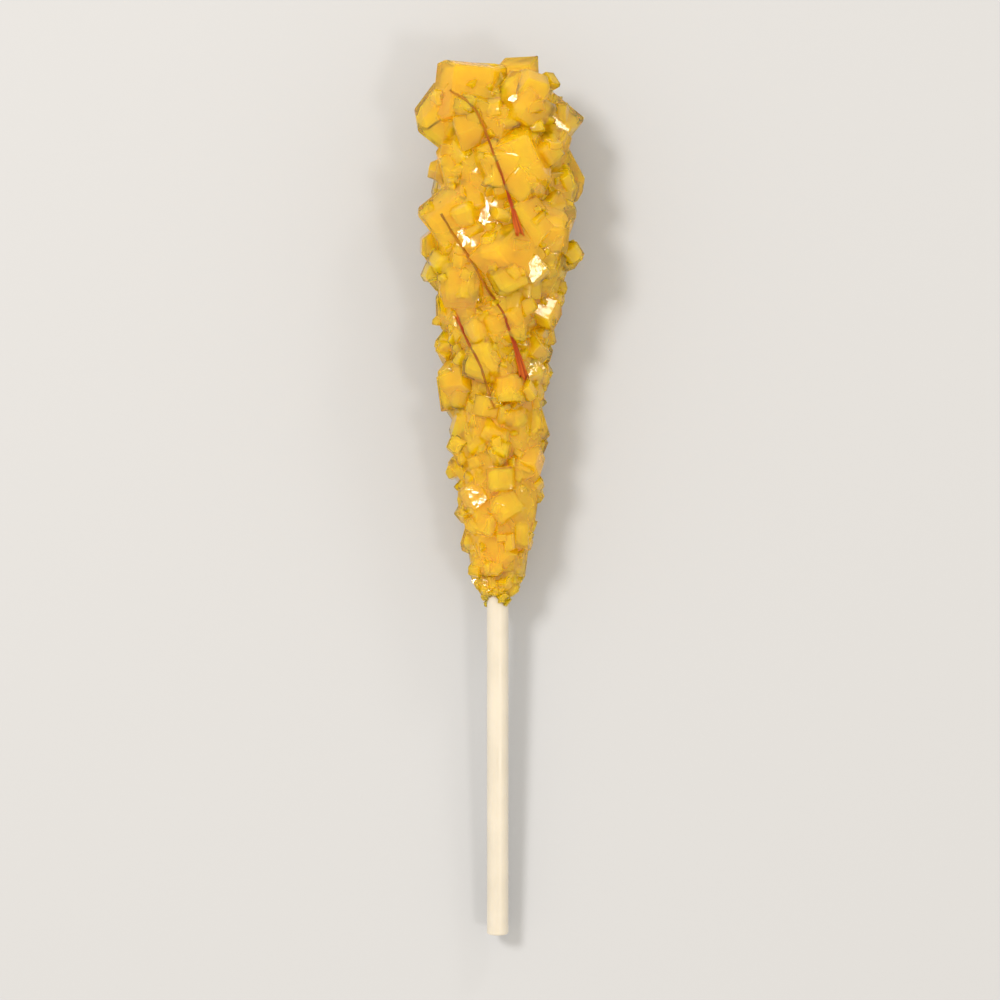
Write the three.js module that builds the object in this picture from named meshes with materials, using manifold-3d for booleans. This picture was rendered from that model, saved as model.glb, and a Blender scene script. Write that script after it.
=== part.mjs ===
// A saffron rock candy stick: a plastic stirring stick with sugar crystals grown round one end.
// Millimetres, +Z up. The stick lies down, candy towards +Y, and rests on flat spots of the crystals.
import * as THREE from "three";
import { ConvexGeometry } from "three/addons/geometries/ConvexGeometry.js";
import { mergeVertices } from "three/addons/utils/BufferGeometryUtils.js";
import Module from "manifold-3d";

// Driving dimensions
const TOTAL_LENGTH = 140; // candy's outer tip to the stick's bare end
const STICK_DIAMETER = 3.5;
const STICK_COVER = 10; // candy beyond the stick's buried end
const STICK_CHAMFER = 0.35;
const STICK_SIDES = 32;
const BORE_GAP = 0.3; // clearance all round the stick inside the candy
const CANDY_LENGTH = 82;
const TIP_HEIGHT = 12.3; // stick's axis above the table at the candy's tip
const LEAN_DEG = 3.5; // the bare end lies lower, because the candy tapers

// Outline of the candy seen from above: distance from the tip, then the reach left and right of the axis
const OUTLINE = [
  [12, 11.0, 12.4],
  [20, 11.3, 13.5],
  [29, 12.4, 13.8],
  [35, 11.2, 11.6],
  [40, 9.8, 9.3],
  [50, 10.0, 8.6],
  [57, 7.6, 8.2],
  [62, 8.6, 7.6],
  [71, 7.0, 6.9],
  [79, 5.0, 5.0],
  [CANDY_LENGTH, 3.6, 3.6],
];
const CAP_LENGTH = OUTLINE[0][0]; // blunt end of the candy
const CAP_BLUNTNESS = 3; // exponent of the cap's rounding, where 2 is a round cap
const DEPTH_SHARE_THICK = 0.9; // height against width at the thick end
const DEPTH_SHARE_THIN = 1.1; // and at the thin end
const CORE_SHARE = 0.86; // solid sugar under the crystals, against the outline
const CORE_SIDES = 10;
const CORE_JITTER = 0.2;

// Sucrose: monoclinic cell edges in angstrom, and the angle between a and c
const CELL_A = 10.86;
const CELL_B = 8.71;
const CELL_C = 7.76;
const CELL_BETA = THREE.MathUtils.degToRad(102.9);

// Crystal faces as Miller indices with their distance from the centre, against half the crystal's size
const BLOCK_FACES = [
  [[1, 0, 0], 0.8],
  [[-1, 0, 0], 0.8],
  [[0, 0, 1], 0.95],
  [[0, 0, -1], 0.95],
  [[1, 1, 0], 1.05],
  [[-1, 1, 0], 1.05],
  [[1, -1, 0], 0.95],
  [[-1, -1, 0], 0.95],
];
const EXTRA_FACES = [
  [[1, 0, -1], 1.06],
  [[-1, 0, 1], 1.06],
  [[0, 1, 1], 1.3],
  [[0, -1, -1], 1.2],
];
const FACE_JITTER = 0.34; // how unevenly the faces of one crystal have grown
const B_AXIS = [0, 1, 0]; // crystal's long axis, which points out where it stands
const BROAD_FACE = [1, 0, 0]; // and the face that points out where it lies

// Crystal sizes: how many, their smallest and largest size, the stretch they cover from the tip, how far
// they stand out of the outline, the share that lie with a broad face outwards, and extra faces or not
const KINDS = [
  { count: 26, small: 6.4, large: 9.4, from: 0, to: 40, proud: -0.4, lying: 0.75, extra: true },
  { count: 40, small: 4.4, large: 6.4, from: 0, to: 68, proud: 0, lying: 0.6, extra: true },
  { count: 58, small: 3.2, large: 4.8, from: 30, to: 81, proud: 0.2, lying: 0.6, extra: false },
  { count: 26, small: 2.2, large: 3.0, from: 4, to: 80, proud: 0.5, lying: 0.4, extra: false },
];
const SEED = 20260;
const GOLDEN_ANGLE = Math.PI * (3 - Math.sqrt(5));
const TURN_JITTER = 0.7; // radians
const TILT_JITTER = 0.45; // how far a crystal strays from facing straight out
const REACH_JITTER = 0.06;

// The large crystals that catch the eye: size, middle (distance from the tip, reach to the right of the
// axis, height over it), then the turn of its long edges from the stick and the tilt of its broad face
const LEAD_CRYSTALS = [
  { size: 9.8, distance: 5.2, across: -3.4, height: 2.6, turn: 84, tilt: 8 },
  { size: 7.6, distance: 3.9, across: 3.2, height: 0.6, turn: 2, tilt: -10 },
  { size: 8.6, distance: 9.4, across: -7.2, height: 1.4, turn: 52, tilt: -14 },
  { size: 7.8, distance: 9.8, across: 8.0, height: 0.8, turn: -38, tilt: 16 },
  { size: 11.5, distance: 16.5, across: 2.2, height: 5.9, turn: 24, tilt: 5 },
  { size: 9.2, distance: 25.0, across: -6.4, height: 4.6, turn: 38, tilt: -12 },
  { size: 10.0, distance: 28.0, across: 5.8, height: 5.2, turn: -20, tilt: 12 },
  { size: 5.6, distance: 38.6, across: 6.6, height: 3.0, turn: 62, tilt: 32 },
  { size: 6.2, distance: 51.0, across: -6.4, height: 1.6, turn: 8, tilt: -10 },
];

// A large crystal at the candy's right edge, which grows last
const EDGE_CRYSTAL = { size: 8.6, distance: 18.4, across: 8.5, height: 0.8, turn: 28, tilt: 24 };

// Saffron threads, each from its thin stalk to its flared end: places along the stick from the candy's tip
// and across it, the side of the candy that it lies on (1 is the shown side, -1 the one below), and the
// radius of its flare
const THREADS = [
  {
    side: 1,
    flare: 0.6,
    route: [[4.9, -7.5], [7.3, -4.6], [10.8, -2.2], [16.5, -0.3], [20.8, 1.5], [27.8, 3.2]],
  },
  {
    side: 1,
    flare: 0.7,
    route: [[24.3, -9.0], [29.1, -5.9], [34.8, -2.4], [39.6, 0.6], [42.6, 1.9], [50.0, 4.1]],
  },
  { side: 1, flare: 0.32, route: [[54.8, -0.5], [49.1, -2.4], [44.3, -4.6], [40.0, -6.6]] },
  { side: -1, flare: 0.65, route: [[14.0, 9.2], [20.0, 7.0], [27.0, 6.6], [33.5, 8.0]] },
  { side: -1, flare: 0.5, route: [[58.0, -4.6], [52.0, -5.4], [46.0, -6.4], [39.0, -6.2]] },
];
const THREAD_STEPS = 14;
const THREAD_SIDES = 6;
const STALK_RADIUS = 0.25;
const FLARE_START = 0.72; // share of the thread's length
const THREAD_CAST = 60; // height from which a thread is let down on the crystals

const wasm = await Module();
wasm.setup();

// A repeatable stream of numbers from 0 to 1
function seededRandom(seed) {
  let state = seed;
  return () => {
    state = (state + 0x6d2b79f5) | 0;
    let mixed = Math.imul(state ^ (state >>> 15), 1 | state);
    mixed = (mixed + Math.imul(mixed ^ (mixed >>> 7), 61 | mixed)) ^ mixed;
    return ((mixed ^ (mixed >>> 14)) >>> 0) / 4294967296;
  };
}

function solidFrom(geometry) {
  const bare = new THREE.BufferGeometry();
  bare.setAttribute("position", geometry.getAttribute("position").clone());
  bare.setIndex(geometry.index);
  const merged = mergeVertices(bare, 1e-4);
  const vertProperties = new Float32Array(merged.getAttribute("position").array);
  const triVerts = new Uint32Array(merged.index.array);
  return new wasm.Manifold(new wasm.Mesh({ numProp: 3, vertProperties, triVerts }));
}

function geometryFrom(solid) {
  const mesh = solid.getMesh();
  const geometry = new THREE.BufferGeometry();
  geometry.setAttribute("position", new THREE.BufferAttribute(mesh.vertProperties, 3));
  geometry.setIndex(new THREE.BufferAttribute(mesh.triVerts, 1));
  const faceted = geometry.toNonIndexed();
  faceted.computeVertexNormals();
  return faceted;
}

// Outward direction of the crystal face with Miller indices h, k, l; the crystal's b axis is y
function faceNormal([h, k, l]) {
  const sine = Math.sin(CELL_BETA);
  const cosine = Math.cos(CELL_BETA);
  const x = h / CELL_A;
  const y = k / CELL_B;
  const z = l / (CELL_C * sine) - (h * cosine) / (CELL_A * sine);
  return new THREE.Vector3(x, y, z).normalize();
}

// Corners of the convex solid that the faces enclose
function cornersOf(planes) {
  const corners = [];
  const inside = (point) => planes.every((p) => p.distanceToPoint(point) < 1e-7);
  const rows = new THREE.Matrix3();
  for (let i = 0; i < planes.length; i++) {
    for (let j = i + 1; j < planes.length; j++) {
      for (let k = j + 1; k < planes.length; k++) {
        const [a, b, c] = [planes[i], planes[j], planes[k]];
        rows.set(...a.normal, ...b.normal, ...c.normal);
        if (Math.abs(rows.determinant()) < 1e-6) continue;
        const point = new THREE.Vector3(-a.constant, -b.constant, -c.constant);
        point.applyMatrix3(rows.invert());
        if (inside(point)) corners.push(point);
      }
    }
  }
  return corners;
}

function crystalCorners(size, extra, random) {
  const faces = extra ? [...BLOCK_FACES, ...EXTRA_FACES] : BLOCK_FACES;
  const planes = faces.map(([indices, distance]) => {
    const grown = 1 + (random() - 0.5) * FACE_JITTER;
    return new THREE.Plane(faceNormal(indices), (-distance * grown * size) / 2);
  });
  return cornersOf(planes);
}

// Height of the candy against its width, at a distance from the tip
function depthShare(distance) {
  const along = THREE.MathUtils.clamp(distance / CANDY_LENGTH, 0, 1);
  return THREE.MathUtils.lerp(DEPTH_SHARE_THICK, DEPTH_SHARE_THIN, along);
}

// Reach of the candy at a distance from the tip, towards a turn round the axis (0 is +X, a quarter is up)
function outlineReach(distance, turn) {
  const last = OUTLINE.length - 1;
  let i = 0;
  while (i < last - 1 && distance > OUTLINE[i + 1][0]) i++;
  const [near, far] = [OUTLINE[i], OUTLINE[i + 1]];
  const share = THREE.MathUtils.clamp((distance - near[0]) / (far[0] - near[0]), 0, 1);
  const left = THREE.MathUtils.lerp(near[1], far[1], share);
  const right = THREE.MathUtils.lerp(near[2], far[2], share);
  const side = Math.cos(turn) > 0 ? right : left;
  const deep = ((left + right) / 2) * depthShare(distance);
  return Math.hypot(side * Math.cos(turn), deep * Math.sin(turn));
}

// One crystal, with its outermost corner on the outline. y runs along the stick, 0 at the candy's tip
function placedCrystal(kind, distance, turn, random) {
  const lift = Math.max(0, 1 - distance / CAP_LENGTH) * (Math.PI / 2);
  const root = new THREE.Vector3(0, -Math.max(distance, CAP_LENGTH), 0);
  const flat = Math.cos(lift);
  const outward = new THREE.Vector3(flat * Math.cos(turn), Math.sin(lift), flat * Math.sin(turn));
  const side = outlineReach(Math.max(distance, CAP_LENGTH), turn);
  const sideways = (flat / side) ** CAP_BLUNTNESS;
  const endways = (Math.sin(lift) / CAP_LENGTH) ** CAP_BLUNTNESS;
  const reach = (sideways + endways) ** (-1 / CAP_BLUNTNESS);
  const size = THREE.MathUtils.lerp(kind.small, kind.large, random());
  const stray = new THREE.Vector3(random() - 0.5, random() - 0.5, random() - 0.5);
  const facing = outward.clone().addScaledVector(stray, 2 * TILT_JITTER).normalize();
  const pole = faceNormal(random() < kind.lying ? BROAD_FACE : B_AXIS);
  const turned = new THREE.Quaternion().setFromAxisAngle(facing, random() * 2 * Math.PI);
  turned.multiply(new THREE.Quaternion().setFromUnitVectors(pole, facing));
  const proud = kind.proud + (random() - 0.5) * REACH_JITTER * reach;
  const corners = crystalCorners(size, kind.extra, random);
  corners.forEach((corner) => corner.applyQuaternion(turned));
  const support = Math.max(...corners.map((corner) => corner.dot(outward)));
  const centre = root.addScaledVector(outward, reach + proud - support);
  corners.forEach((corner) => corner.add(centre));
  return new ConvexGeometry(corners);
}

// A large crystal with its broad face up, turned about the vertical and then tilted to one side
function leadCrystal({ size, distance, across, height, turn, tilt }, random) {
  const up = new THREE.Vector3(0, 0, 1);
  const turned = new THREE.Quaternion().setFromAxisAngle(up, THREE.MathUtils.degToRad(turn));
  const leaned = new THREE.Vector3(0, 1, 0);
  turned.multiply(new THREE.Quaternion().setFromAxisAngle(leaned, THREE.MathUtils.degToRad(tilt)));
  turned.multiply(new THREE.Quaternion().setFromUnitVectors(faceNormal(BROAD_FACE), up));
  const corners = crystalCorners(size, true, random);
  const middle = new THREE.Vector3(across, -distance, height);
  corners.forEach((corner) => corner.applyQuaternion(turned).add(middle));
  return new ConvexGeometry(corners);
}

function allCrystals(random) {
  const crystals = LEAD_CRYSTALS.map((lead) => leadCrystal(lead, random));
  for (const kind of KINDS) {
    for (let i = 0; i < kind.count; i++) {
      const share = (i + random()) / kind.count;
      const distance = THREE.MathUtils.lerp(kind.from, kind.to, share);
      const turn = i * GOLDEN_ANGLE + (random() - 0.5) * TURN_JITTER;
      crystals.push(placedCrystal(kind, distance, turn, random));
    }
  }
  return [...crystals, leadCrystal(EDGE_CRYSTAL, random)];
}

// Solid sugar round the stick, which the crystals stand on, with an uneven surface
function coreGeometry(random) {
  const profile = [new THREE.Vector2(0, -CANDY_LENGTH)];
  for (const [distance, left, right] of [...OUTLINE].reverse()) {
    profile.push(new THREE.Vector2(Math.min(left, right) * CORE_SHARE, -distance));
  }
  profile.push(new THREE.Vector2(0, -CAP_LENGTH * (1 - CORE_SHARE)));
  const core = new THREE.LatheGeometry(profile, CORE_SIDES);
  const places = core.getAttribute("position");
  const swell = profile.map(() => Array.from({ length: CORE_SIDES }, random));
  for (let i = 0; i < places.count; i++) {
    const row = i % profile.length;
    const side = Math.floor(i / profile.length) % CORE_SIDES;
    const factor = 1 + (swell[row][side] - 0.5) * CORE_JITTER;
    const y = places.getY(i);
    places.setXYZ(i, places.getX(i) * factor, y, places.getZ(i) * factor * depthShare(-y));
  }
  return core;
}

function stickGeometry(radius, chamfer) {
  const half = (TOTAL_LENGTH - STICK_COVER) / 2;
  const profile = [
    new THREE.Vector2(0, -half),
    new THREE.Vector2(radius - chamfer, -half),
    new THREE.Vector2(radius, -half + chamfer),
    new THREE.Vector2(radius, half - chamfer),
    new THREE.Vector2(radius - chamfer, half),
    new THREE.Vector2(0, half),
  ];
  return new THREE.LatheGeometry(profile, STICK_SIDES);
}

// From the stick's own axes, with 0 at the candy's tip, to the table
const leaning = new THREE.Matrix4().makeTranslation(0, 0, TIP_HEIGHT);
leaning.multiply(new THREE.Matrix4().makeRotationX(THREE.MathUtils.degToRad(LEAN_DEG)));
const stickMiddle = new THREE.Vector3(0, -(TOTAL_LENGTH + STICK_COVER) / 2, 0);
const stickPlace = leaning.clone().multiply(new THREE.Matrix4().setPosition(stickMiddle));

function largestBody(solid) {
  return solid.decompose().sort((a, b) => b.volume() - a.volume())[0];
}

function sugarSolid() {
  const random = seededRandom(SEED);
  const pieces = [coreGeometry(random), ...allCrystals(random)];
  const solids = pieces.map((geometry) => solidFrom(geometry.applyMatrix4(leaning)));
  const grown = solids.reduce((sum, solid) => sum.add(solid));
  const table = new THREE.BoxGeometry(4 * TOTAL_LENGTH, 4 * TOTAL_LENGTH, TOTAL_LENGTH);
  return largestBody(grown.subtract(solidFrom(table.translate(0, 0, -TOTAL_LENGTH / 2))));
}

// A thread's middle line, let down on the crystals and stiff enough to bridge the clefts between them
function threadLine({ side, route }, sugar) {
  const flat = new THREE.CatmullRomCurve3(route.map(([s, x]) => new THREE.Vector3(x, -s, 0)));
  const seen = flat.getSpacedPoints(THREAD_STEPS);
  const caster = new THREE.Raycaster();
  const heights = seen.map((point) => {
    const start = point.clone().setZ(side * THREAD_CAST);
    caster.set(start, new THREE.Vector3(0, 0, -side));
    return caster.intersectObject(sugar)[0].point.z * side;
  });
  const bridged = heights.map((_, i) => Math.max(...heights.slice(Math.max(0, i - 1), i + 2)));
  const points = seen.map((point, i) => {
    const near = bridged.slice(Math.max(0, i - 1), i + 2);
    const height = near.reduce((sum, value) => sum + value, 0) / near.length;
    return point.clone().setZ(side * height);
  });
  return new THREE.CatmullRomCurve3(points);
}

// A thread is a lathed stalk with a flared end, bent along its middle line
function threadGeometry(line, flareRadius) {
  const profile = [new THREE.Vector2(0, 0)];
  for (let i = 0; i <= THREAD_STEPS; i++) {
    const share = i / THREAD_STEPS;
    const flare = THREE.MathUtils.smoothstep(share, FLARE_START, 1);
    const radius = THREE.MathUtils.lerp(STALK_RADIUS, flareRadius, flare);
    profile.push(new THREE.Vector2(radius, share));
  }
  profile.push(new THREE.Vector2(0, 1));
  const thread = new THREE.LatheGeometry(profile, THREAD_SIDES);
  const places = thread.getAttribute("position");
  for (let i = 0; i < places.count; i++) {
    const share = places.getY(i);
    const along = line.getTangentAt(share);
    const sideways = new THREE.Vector3(along.y, -along.x, 0).normalize();
    const upward = new THREE.Vector3().crossVectors(sideways, along);
    const point = line.getPointAt(share);
    point.addScaledVector(sideways, places.getX(i)).addScaledVector(upward, places.getZ(i));
    places.setXYZ(i, point.x, point.y, point.z);
  }
  return thread;
}

function candySolid() {
  const sugar = sugarSolid();
  const surface = new THREE.Mesh(geometryFrom(sugar), new THREE.MeshBasicMaterial());
  const threads = THREADS.map((thread) => {
    return solidFrom(threadGeometry(threadLine(thread, surface), thread.flare));
  });
  const dressed = threads.reduce((sum, thread) => sum.add(thread), sugar);
  const bore = stickGeometry(STICK_DIAMETER / 2 + BORE_GAP, STICK_CHAMFER);
  bore.scale(1, 1 + (2 * BORE_GAP) / (TOTAL_LENGTH - STICK_COVER), 1);
  return largestBody(dressed.subtract(solidFrom(bore.applyMatrix4(stickPlace))));
}

const candy = new THREE.Mesh(
  geometryFrom(candySolid()),
  new THREE.MeshStandardMaterial({ color: 0xe9bb22, roughness: 0.12, metalness: 0 }),
);
candy.name = "rock_candy";

const stick = new THREE.Mesh(
  stickGeometry(STICK_DIAMETER / 2, STICK_CHAMFER),
  new THREE.MeshStandardMaterial({ color: 0xf4ecdc, roughness: 0.45, metalness: 0 }),
);
stick.name = "stick";
stick.applyMatrix4(stickPlace);

// The origin is under the middle of the whole stick
const rockCandyStick = new THREE.Group();
rockCandyStick.add(stick, candy);
rockCandyStick.updateMatrixWorld(true);
const middle = new THREE.Box3().setFromObject(rockCandyStick, true).getCenter(new THREE.Vector3());
rockCandyStick.children.forEach((part) => {
  part.position.x -= middle.x;
  part.position.y -= middle.y;
});

export default rockCandyStick;
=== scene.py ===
# %% [markdown]
# # A saffron rock candy stick
# A stirring stick hangs for days in hot saffron syrup, and sugar crystals grow round one end of it. The
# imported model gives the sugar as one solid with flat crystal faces, and the stick as a plain rod. This
# lesson grows the same crystals again with bevelled edges, adds the small ones between them, lays the
# saffron threads on top, and finishes each surface.
# The frame comes first, because every piece is placed from it and nothing in it may move. Blender works in
# metres, but sizes are easier to read in millimetres, so they are, and MM turns them over.

# %% Load the frame
import math
import bmesh
import bpy
from mathutils import Matrix, Quaternion, Vector
from mathutils.bvhtree import BVHTree


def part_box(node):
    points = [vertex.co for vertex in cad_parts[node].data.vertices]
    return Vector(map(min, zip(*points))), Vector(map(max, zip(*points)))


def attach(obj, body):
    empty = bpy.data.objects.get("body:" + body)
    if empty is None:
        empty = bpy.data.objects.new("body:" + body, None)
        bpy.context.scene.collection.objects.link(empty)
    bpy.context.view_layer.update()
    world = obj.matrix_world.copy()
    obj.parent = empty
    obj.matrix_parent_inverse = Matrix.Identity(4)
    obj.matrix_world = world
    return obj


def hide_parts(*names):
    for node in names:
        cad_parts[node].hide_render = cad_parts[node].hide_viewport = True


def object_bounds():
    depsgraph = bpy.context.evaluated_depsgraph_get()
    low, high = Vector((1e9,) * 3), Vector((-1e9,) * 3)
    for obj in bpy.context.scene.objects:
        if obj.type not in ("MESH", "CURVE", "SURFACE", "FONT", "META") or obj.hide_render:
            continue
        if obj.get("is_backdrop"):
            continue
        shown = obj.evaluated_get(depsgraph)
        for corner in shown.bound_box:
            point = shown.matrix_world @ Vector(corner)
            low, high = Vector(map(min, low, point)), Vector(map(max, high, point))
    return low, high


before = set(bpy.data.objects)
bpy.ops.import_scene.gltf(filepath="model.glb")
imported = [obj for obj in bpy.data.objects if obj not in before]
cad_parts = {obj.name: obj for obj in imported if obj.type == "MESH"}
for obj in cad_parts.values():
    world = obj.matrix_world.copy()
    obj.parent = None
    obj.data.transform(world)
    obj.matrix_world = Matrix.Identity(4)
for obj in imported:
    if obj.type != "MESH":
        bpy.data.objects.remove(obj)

cad_low, cad_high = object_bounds()
MM = 0.001  # metres
scene = bpy.context.scene
print("nodes:", sorted(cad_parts), "length in mm:", round((cad_high.y - cad_low.y) / MM, 1))

# %% [markdown]
# ## Where the stick lies
# The stick leans a little, because the candy is thicker at its tip. All crystals were placed from the
# stick's axis, so the axis is worked out from the stick's box: its two ends lie on the same slanting line,
# and the candy reaches some way beyond the upper end.

# %% The stick's own axes
STICK_DIAMETER = 3.5
STICK_COVER = 10.0  # candy beyond the stick's buried end
LEAN = math.radians(3.5)
stick_low, stick_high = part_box("stick")
radius = STICK_DIAMETER / 2
upper_end = Vector((
    (stick_low.x + stick_high.x) / 2 / MM,
    stick_high.y / MM - radius * math.sin(LEAN),
    stick_high.z / MM - radius * math.cos(LEAN),
))
lower_end = Vector((
    upper_end.x,
    stick_low.y / MM + radius * math.sin(LEAN),
    stick_low.z / MM + radius * math.cos(LEAN),
))
along_stick = Vector((0, math.cos(LEAN), math.sin(LEAN)))
candy_tip = upper_end + along_stick * STICK_COVER
to_table = Matrix.Translation(candy_tip) @ Matrix.Rotation(LEAN, 4, "X")
print("candy tip at", [round(c, 2) for c in candy_tip], "rod", round((upper_end - lower_end).length, 2))

# %% [markdown]
# ## Camera
# The photograph looks straight down on the sticks through a long lens, with the candy at the top. A camera
# with its own up along +Y does the same, far enough away that the sides hardly show.

# %% Camera
LENS = 100
MARGIN = 1.1  # frame's height against the stick's length
middle = (cad_low + cad_high) / 2
camera = bpy.data.objects.new("camera", bpy.data.cameras.new("camera"))
camera.data.lens = LENS
half_angle = math.atan(camera.data.sensor_width / 2 / LENS)
span = (cad_high.y - cad_low.y) * MARGIN
camera.location = (middle.x, middle.y, cad_high.z + span / 2 / math.tan(half_angle))
camera.data.clip_start = 0.01
scene.collection.objects.link(camera)
scene.camera = camera
print("camera height in mm:", round(camera.location.z / MM))

# %% [markdown]
# ## Colours and shader nodes
# Shaders work in linear light, but colours are picked from pictures as sRGB hex values, so one function
# turns them over. Another adds one node, sets it and links it, and every material below is made with it.

# %% Colours and shader nodes
def linear(code):
    """An sRGB hex colour as the linear colour that a shader takes."""
    shares = [int(code[i:i + 2], 16) / 255 for i in (1, 3, 5)]
    return tuple(c / 12.92 if c <= 0.04045 else ((c + 0.055) / 1.055) ** 2.4 for c in shares) + (1.0,)


def add(tree, kind, inputs=None, stops=(), **settings):
    """Adds a node. settings go on the node, inputs on its sockets: a value, or the socket to link."""
    node = tree.nodes.new(kind)
    for name, value in settings.items():
        setattr(node, name, value)
    for name, value in (inputs or {}).items():
        if isinstance(value, bpy.types.NodeSocket):
            tree.links.new(value, node.inputs[name])
        else:
            node.inputs[name].default_value = value
    for i, (place, code) in enumerate(stops):
        stop = node.color_ramp.elements[i] if i < 2 else node.color_ramp.elements.new(place)
        stop.position = place
        stop.color = linear(code)
    return node


def new_material(name):
    """An empty material and its node tree."""
    material = bpy.data.materials.new(name)
    material.use_nodes = True
    material.node_tree.nodes.clear()
    return material, material.node_tree


print("saffron yellow in linear light:", [round(share, 3) for share in linear("#FFD404")[:3]])

# %% [markdown]
# ## Random numbers
# The solids were made with a seeded stream of random numbers. The same stream, drawn in the same order,
# grows the same crystals again.

# %% Random numbers
WORD = 0xFFFFFFFF


def seeded(seed):
    """A repeatable stream of numbers from 0 to 1."""
    state = seed

    def draw():
        nonlocal state
        state = (state + 0x6D2B79F5) & WORD
        mixed = ((state ^ (state >> 15)) * (1 | state)) & WORD
        mixed = ((mixed + (mixed ^ (mixed >> 7)) * (61 | mixed)) & WORD) ^ mixed
        return (mixed ^ (mixed >> 14)) / (WORD + 1)

    return draw


def mixed_between(low, high, share):
    """The value that lies this share of the way from low to high."""
    return low + (high - low) * share


trial = seeded(1)
print("three random numbers:", [round(trial(), 4) for _ in range(3)])

# %% [markdown]
# ## One sugar crystal
# Sucrose grows as slanted blocks, and their flat faces always meet at the same angles, because each
# follows a plane of the crystal's cell. So a crystal here is the space that a few planes enclose, each
# moved in or out a little, as the faces of a real one grow unevenly. Scaled cubes would give neither the
# slant nor the roof-shaped ends.

# %% One sugar crystal
CELL_A = 10.86  # edges of sucrose's unit cell in angstroms, of which only the ratios matter
CELL_B = 8.71
CELL_C = 7.76
CELL_BETA = math.radians(102.9)
BLOCK_FACES = [  # Miller indices, and distance from the middle against half the size
    ((1, 0, 0), 0.8),
    ((-1, 0, 0), 0.8),
    ((0, 0, 1), 0.95),
    ((0, 0, -1), 0.95),
    ((1, 1, 0), 1.05),
    ((-1, 1, 0), 1.05),
    ((1, -1, 0), 0.95),
    ((-1, -1, 0), 0.95),
]
EXTRA_FACES = [
    ((1, 0, -1), 1.06),
    ((-1, 0, 1), 1.06),
    ((0, 1, 1), 1.3),
    ((0, -1, -1), 1.2),
]
FACE_JITTER = 0.34  # how unevenly the faces of one crystal have grown
CUT_WELD = 0.002  # corners closer than this share of the size become one
LONG_AXIS = (0, 1, 0)
BROAD_FACE = (1, 0, 0)


def face_normal(indices):
    """Outward direction of the crystal face with these Miller indices."""
    index_a, index_b, index_c = indices
    x = index_a / CELL_A
    y = index_b / CELL_B
    z = (index_c / CELL_C - x * math.cos(CELL_BETA)) / math.sin(CELL_BETA)
    return Vector((x, y, z)).normalized()


def crystal(size, extra, draw):
    """A block cut back to each plane in turn: its corners, and each face as a ring of corner numbers."""
    block = bmesh.new()
    bmesh.ops.create_cube(block, size=4 * size)
    for indices, distance in BLOCK_FACES + (EXTRA_FACES if extra else []):
        normal = face_normal(indices)
        grown = 1 + (draw() - 0.5) * FACE_JITTER
        place = normal * distance * grown * size / 2
        everything = block.verts[:] + block.edges[:] + block.faces[:]
        bmesh.ops.bisect_plane(
            block, geom=everything, dist=CUT_WELD * size, plane_co=place, plane_no=normal, clear_outer=True
        )
        rim = [edge for edge in block.edges if edge.is_boundary]
        if rim:
            bmesh.ops.contextual_create(block, geom=rim)
    corners = [vert.co.copy() for vert in block.verts]
    block.verts.index_update()
    faces = [[vert.index for vert in face.verts] for face in block.faces]
    block.free()
    return corners, faces


sample_corners, sample_faces = crystal(5, True, seeded(3))
print("a 5 mm crystal has", len(sample_corners), "corners and", len(sample_faces), "faces")

# %% [markdown]
# ## The candy's outline
# The shape of the whole candy is a table: how far it reaches left and right of the stick at some distances
# from the tip. Each crystal is then turned any way and moved until its outermost corner touches that
# outline, so that the mass is full and its edge is as ragged as a grown one.

# %% Outline
CANDY_LENGTH = 82.0
OUTLINE = [  # distance from the tip, reach to the left and to the right
    (12, 11.0, 12.4),
    (20, 11.3, 13.5),
    (29, 12.4, 13.8),
    (35, 11.2, 11.6),
    (40, 9.8, 9.3),
    (50, 10.0, 8.6),
    (57, 7.6, 8.2),
    (62, 8.6, 7.6),
    (71, 7.0, 6.9),
    (79, 5.0, 5.0),
    (CANDY_LENGTH, 3.6, 3.6),
]
CAP_LENGTH = OUTLINE[0][0]
CAP_BLUNTNESS = 3  # power of the curve round the tip: 2 is an ellipse, more is blunter
DEPTH_SHARE_THICK = 0.9  # height of the candy against its width, at its tip
DEPTH_SHARE_THIN = 1.1  # and at its thin end


def depth_share(distance):
    """Height of the candy against its width."""
    along = min(max(distance / CANDY_LENGTH, 0), 1)
    return mixed_between(DEPTH_SHARE_THICK, DEPTH_SHARE_THIN, along)


def outline_reach(distance, turn):
    """Reach of the candy at a distance from its tip, towards a turn round the stick."""
    i = 0
    while i < len(OUTLINE) - 2 and distance > OUTLINE[i + 1][0]:
        i += 1
    near, far = OUTLINE[i], OUTLINE[i + 1]
    share = min(max((distance - near[0]) / (far[0] - near[0]), 0), 1)
    left = mixed_between(near[1], far[1], share)
    right = mixed_between(near[2], far[2], share)
    side = right if math.cos(turn) > 0 else left
    deep = (left + right) / 2 * depth_share(distance)
    return math.hypot(side * math.cos(turn), deep * math.sin(turn))


print("reach to the right, 20 mm from the tip:", outline_reach(20, 0), "mm")
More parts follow.
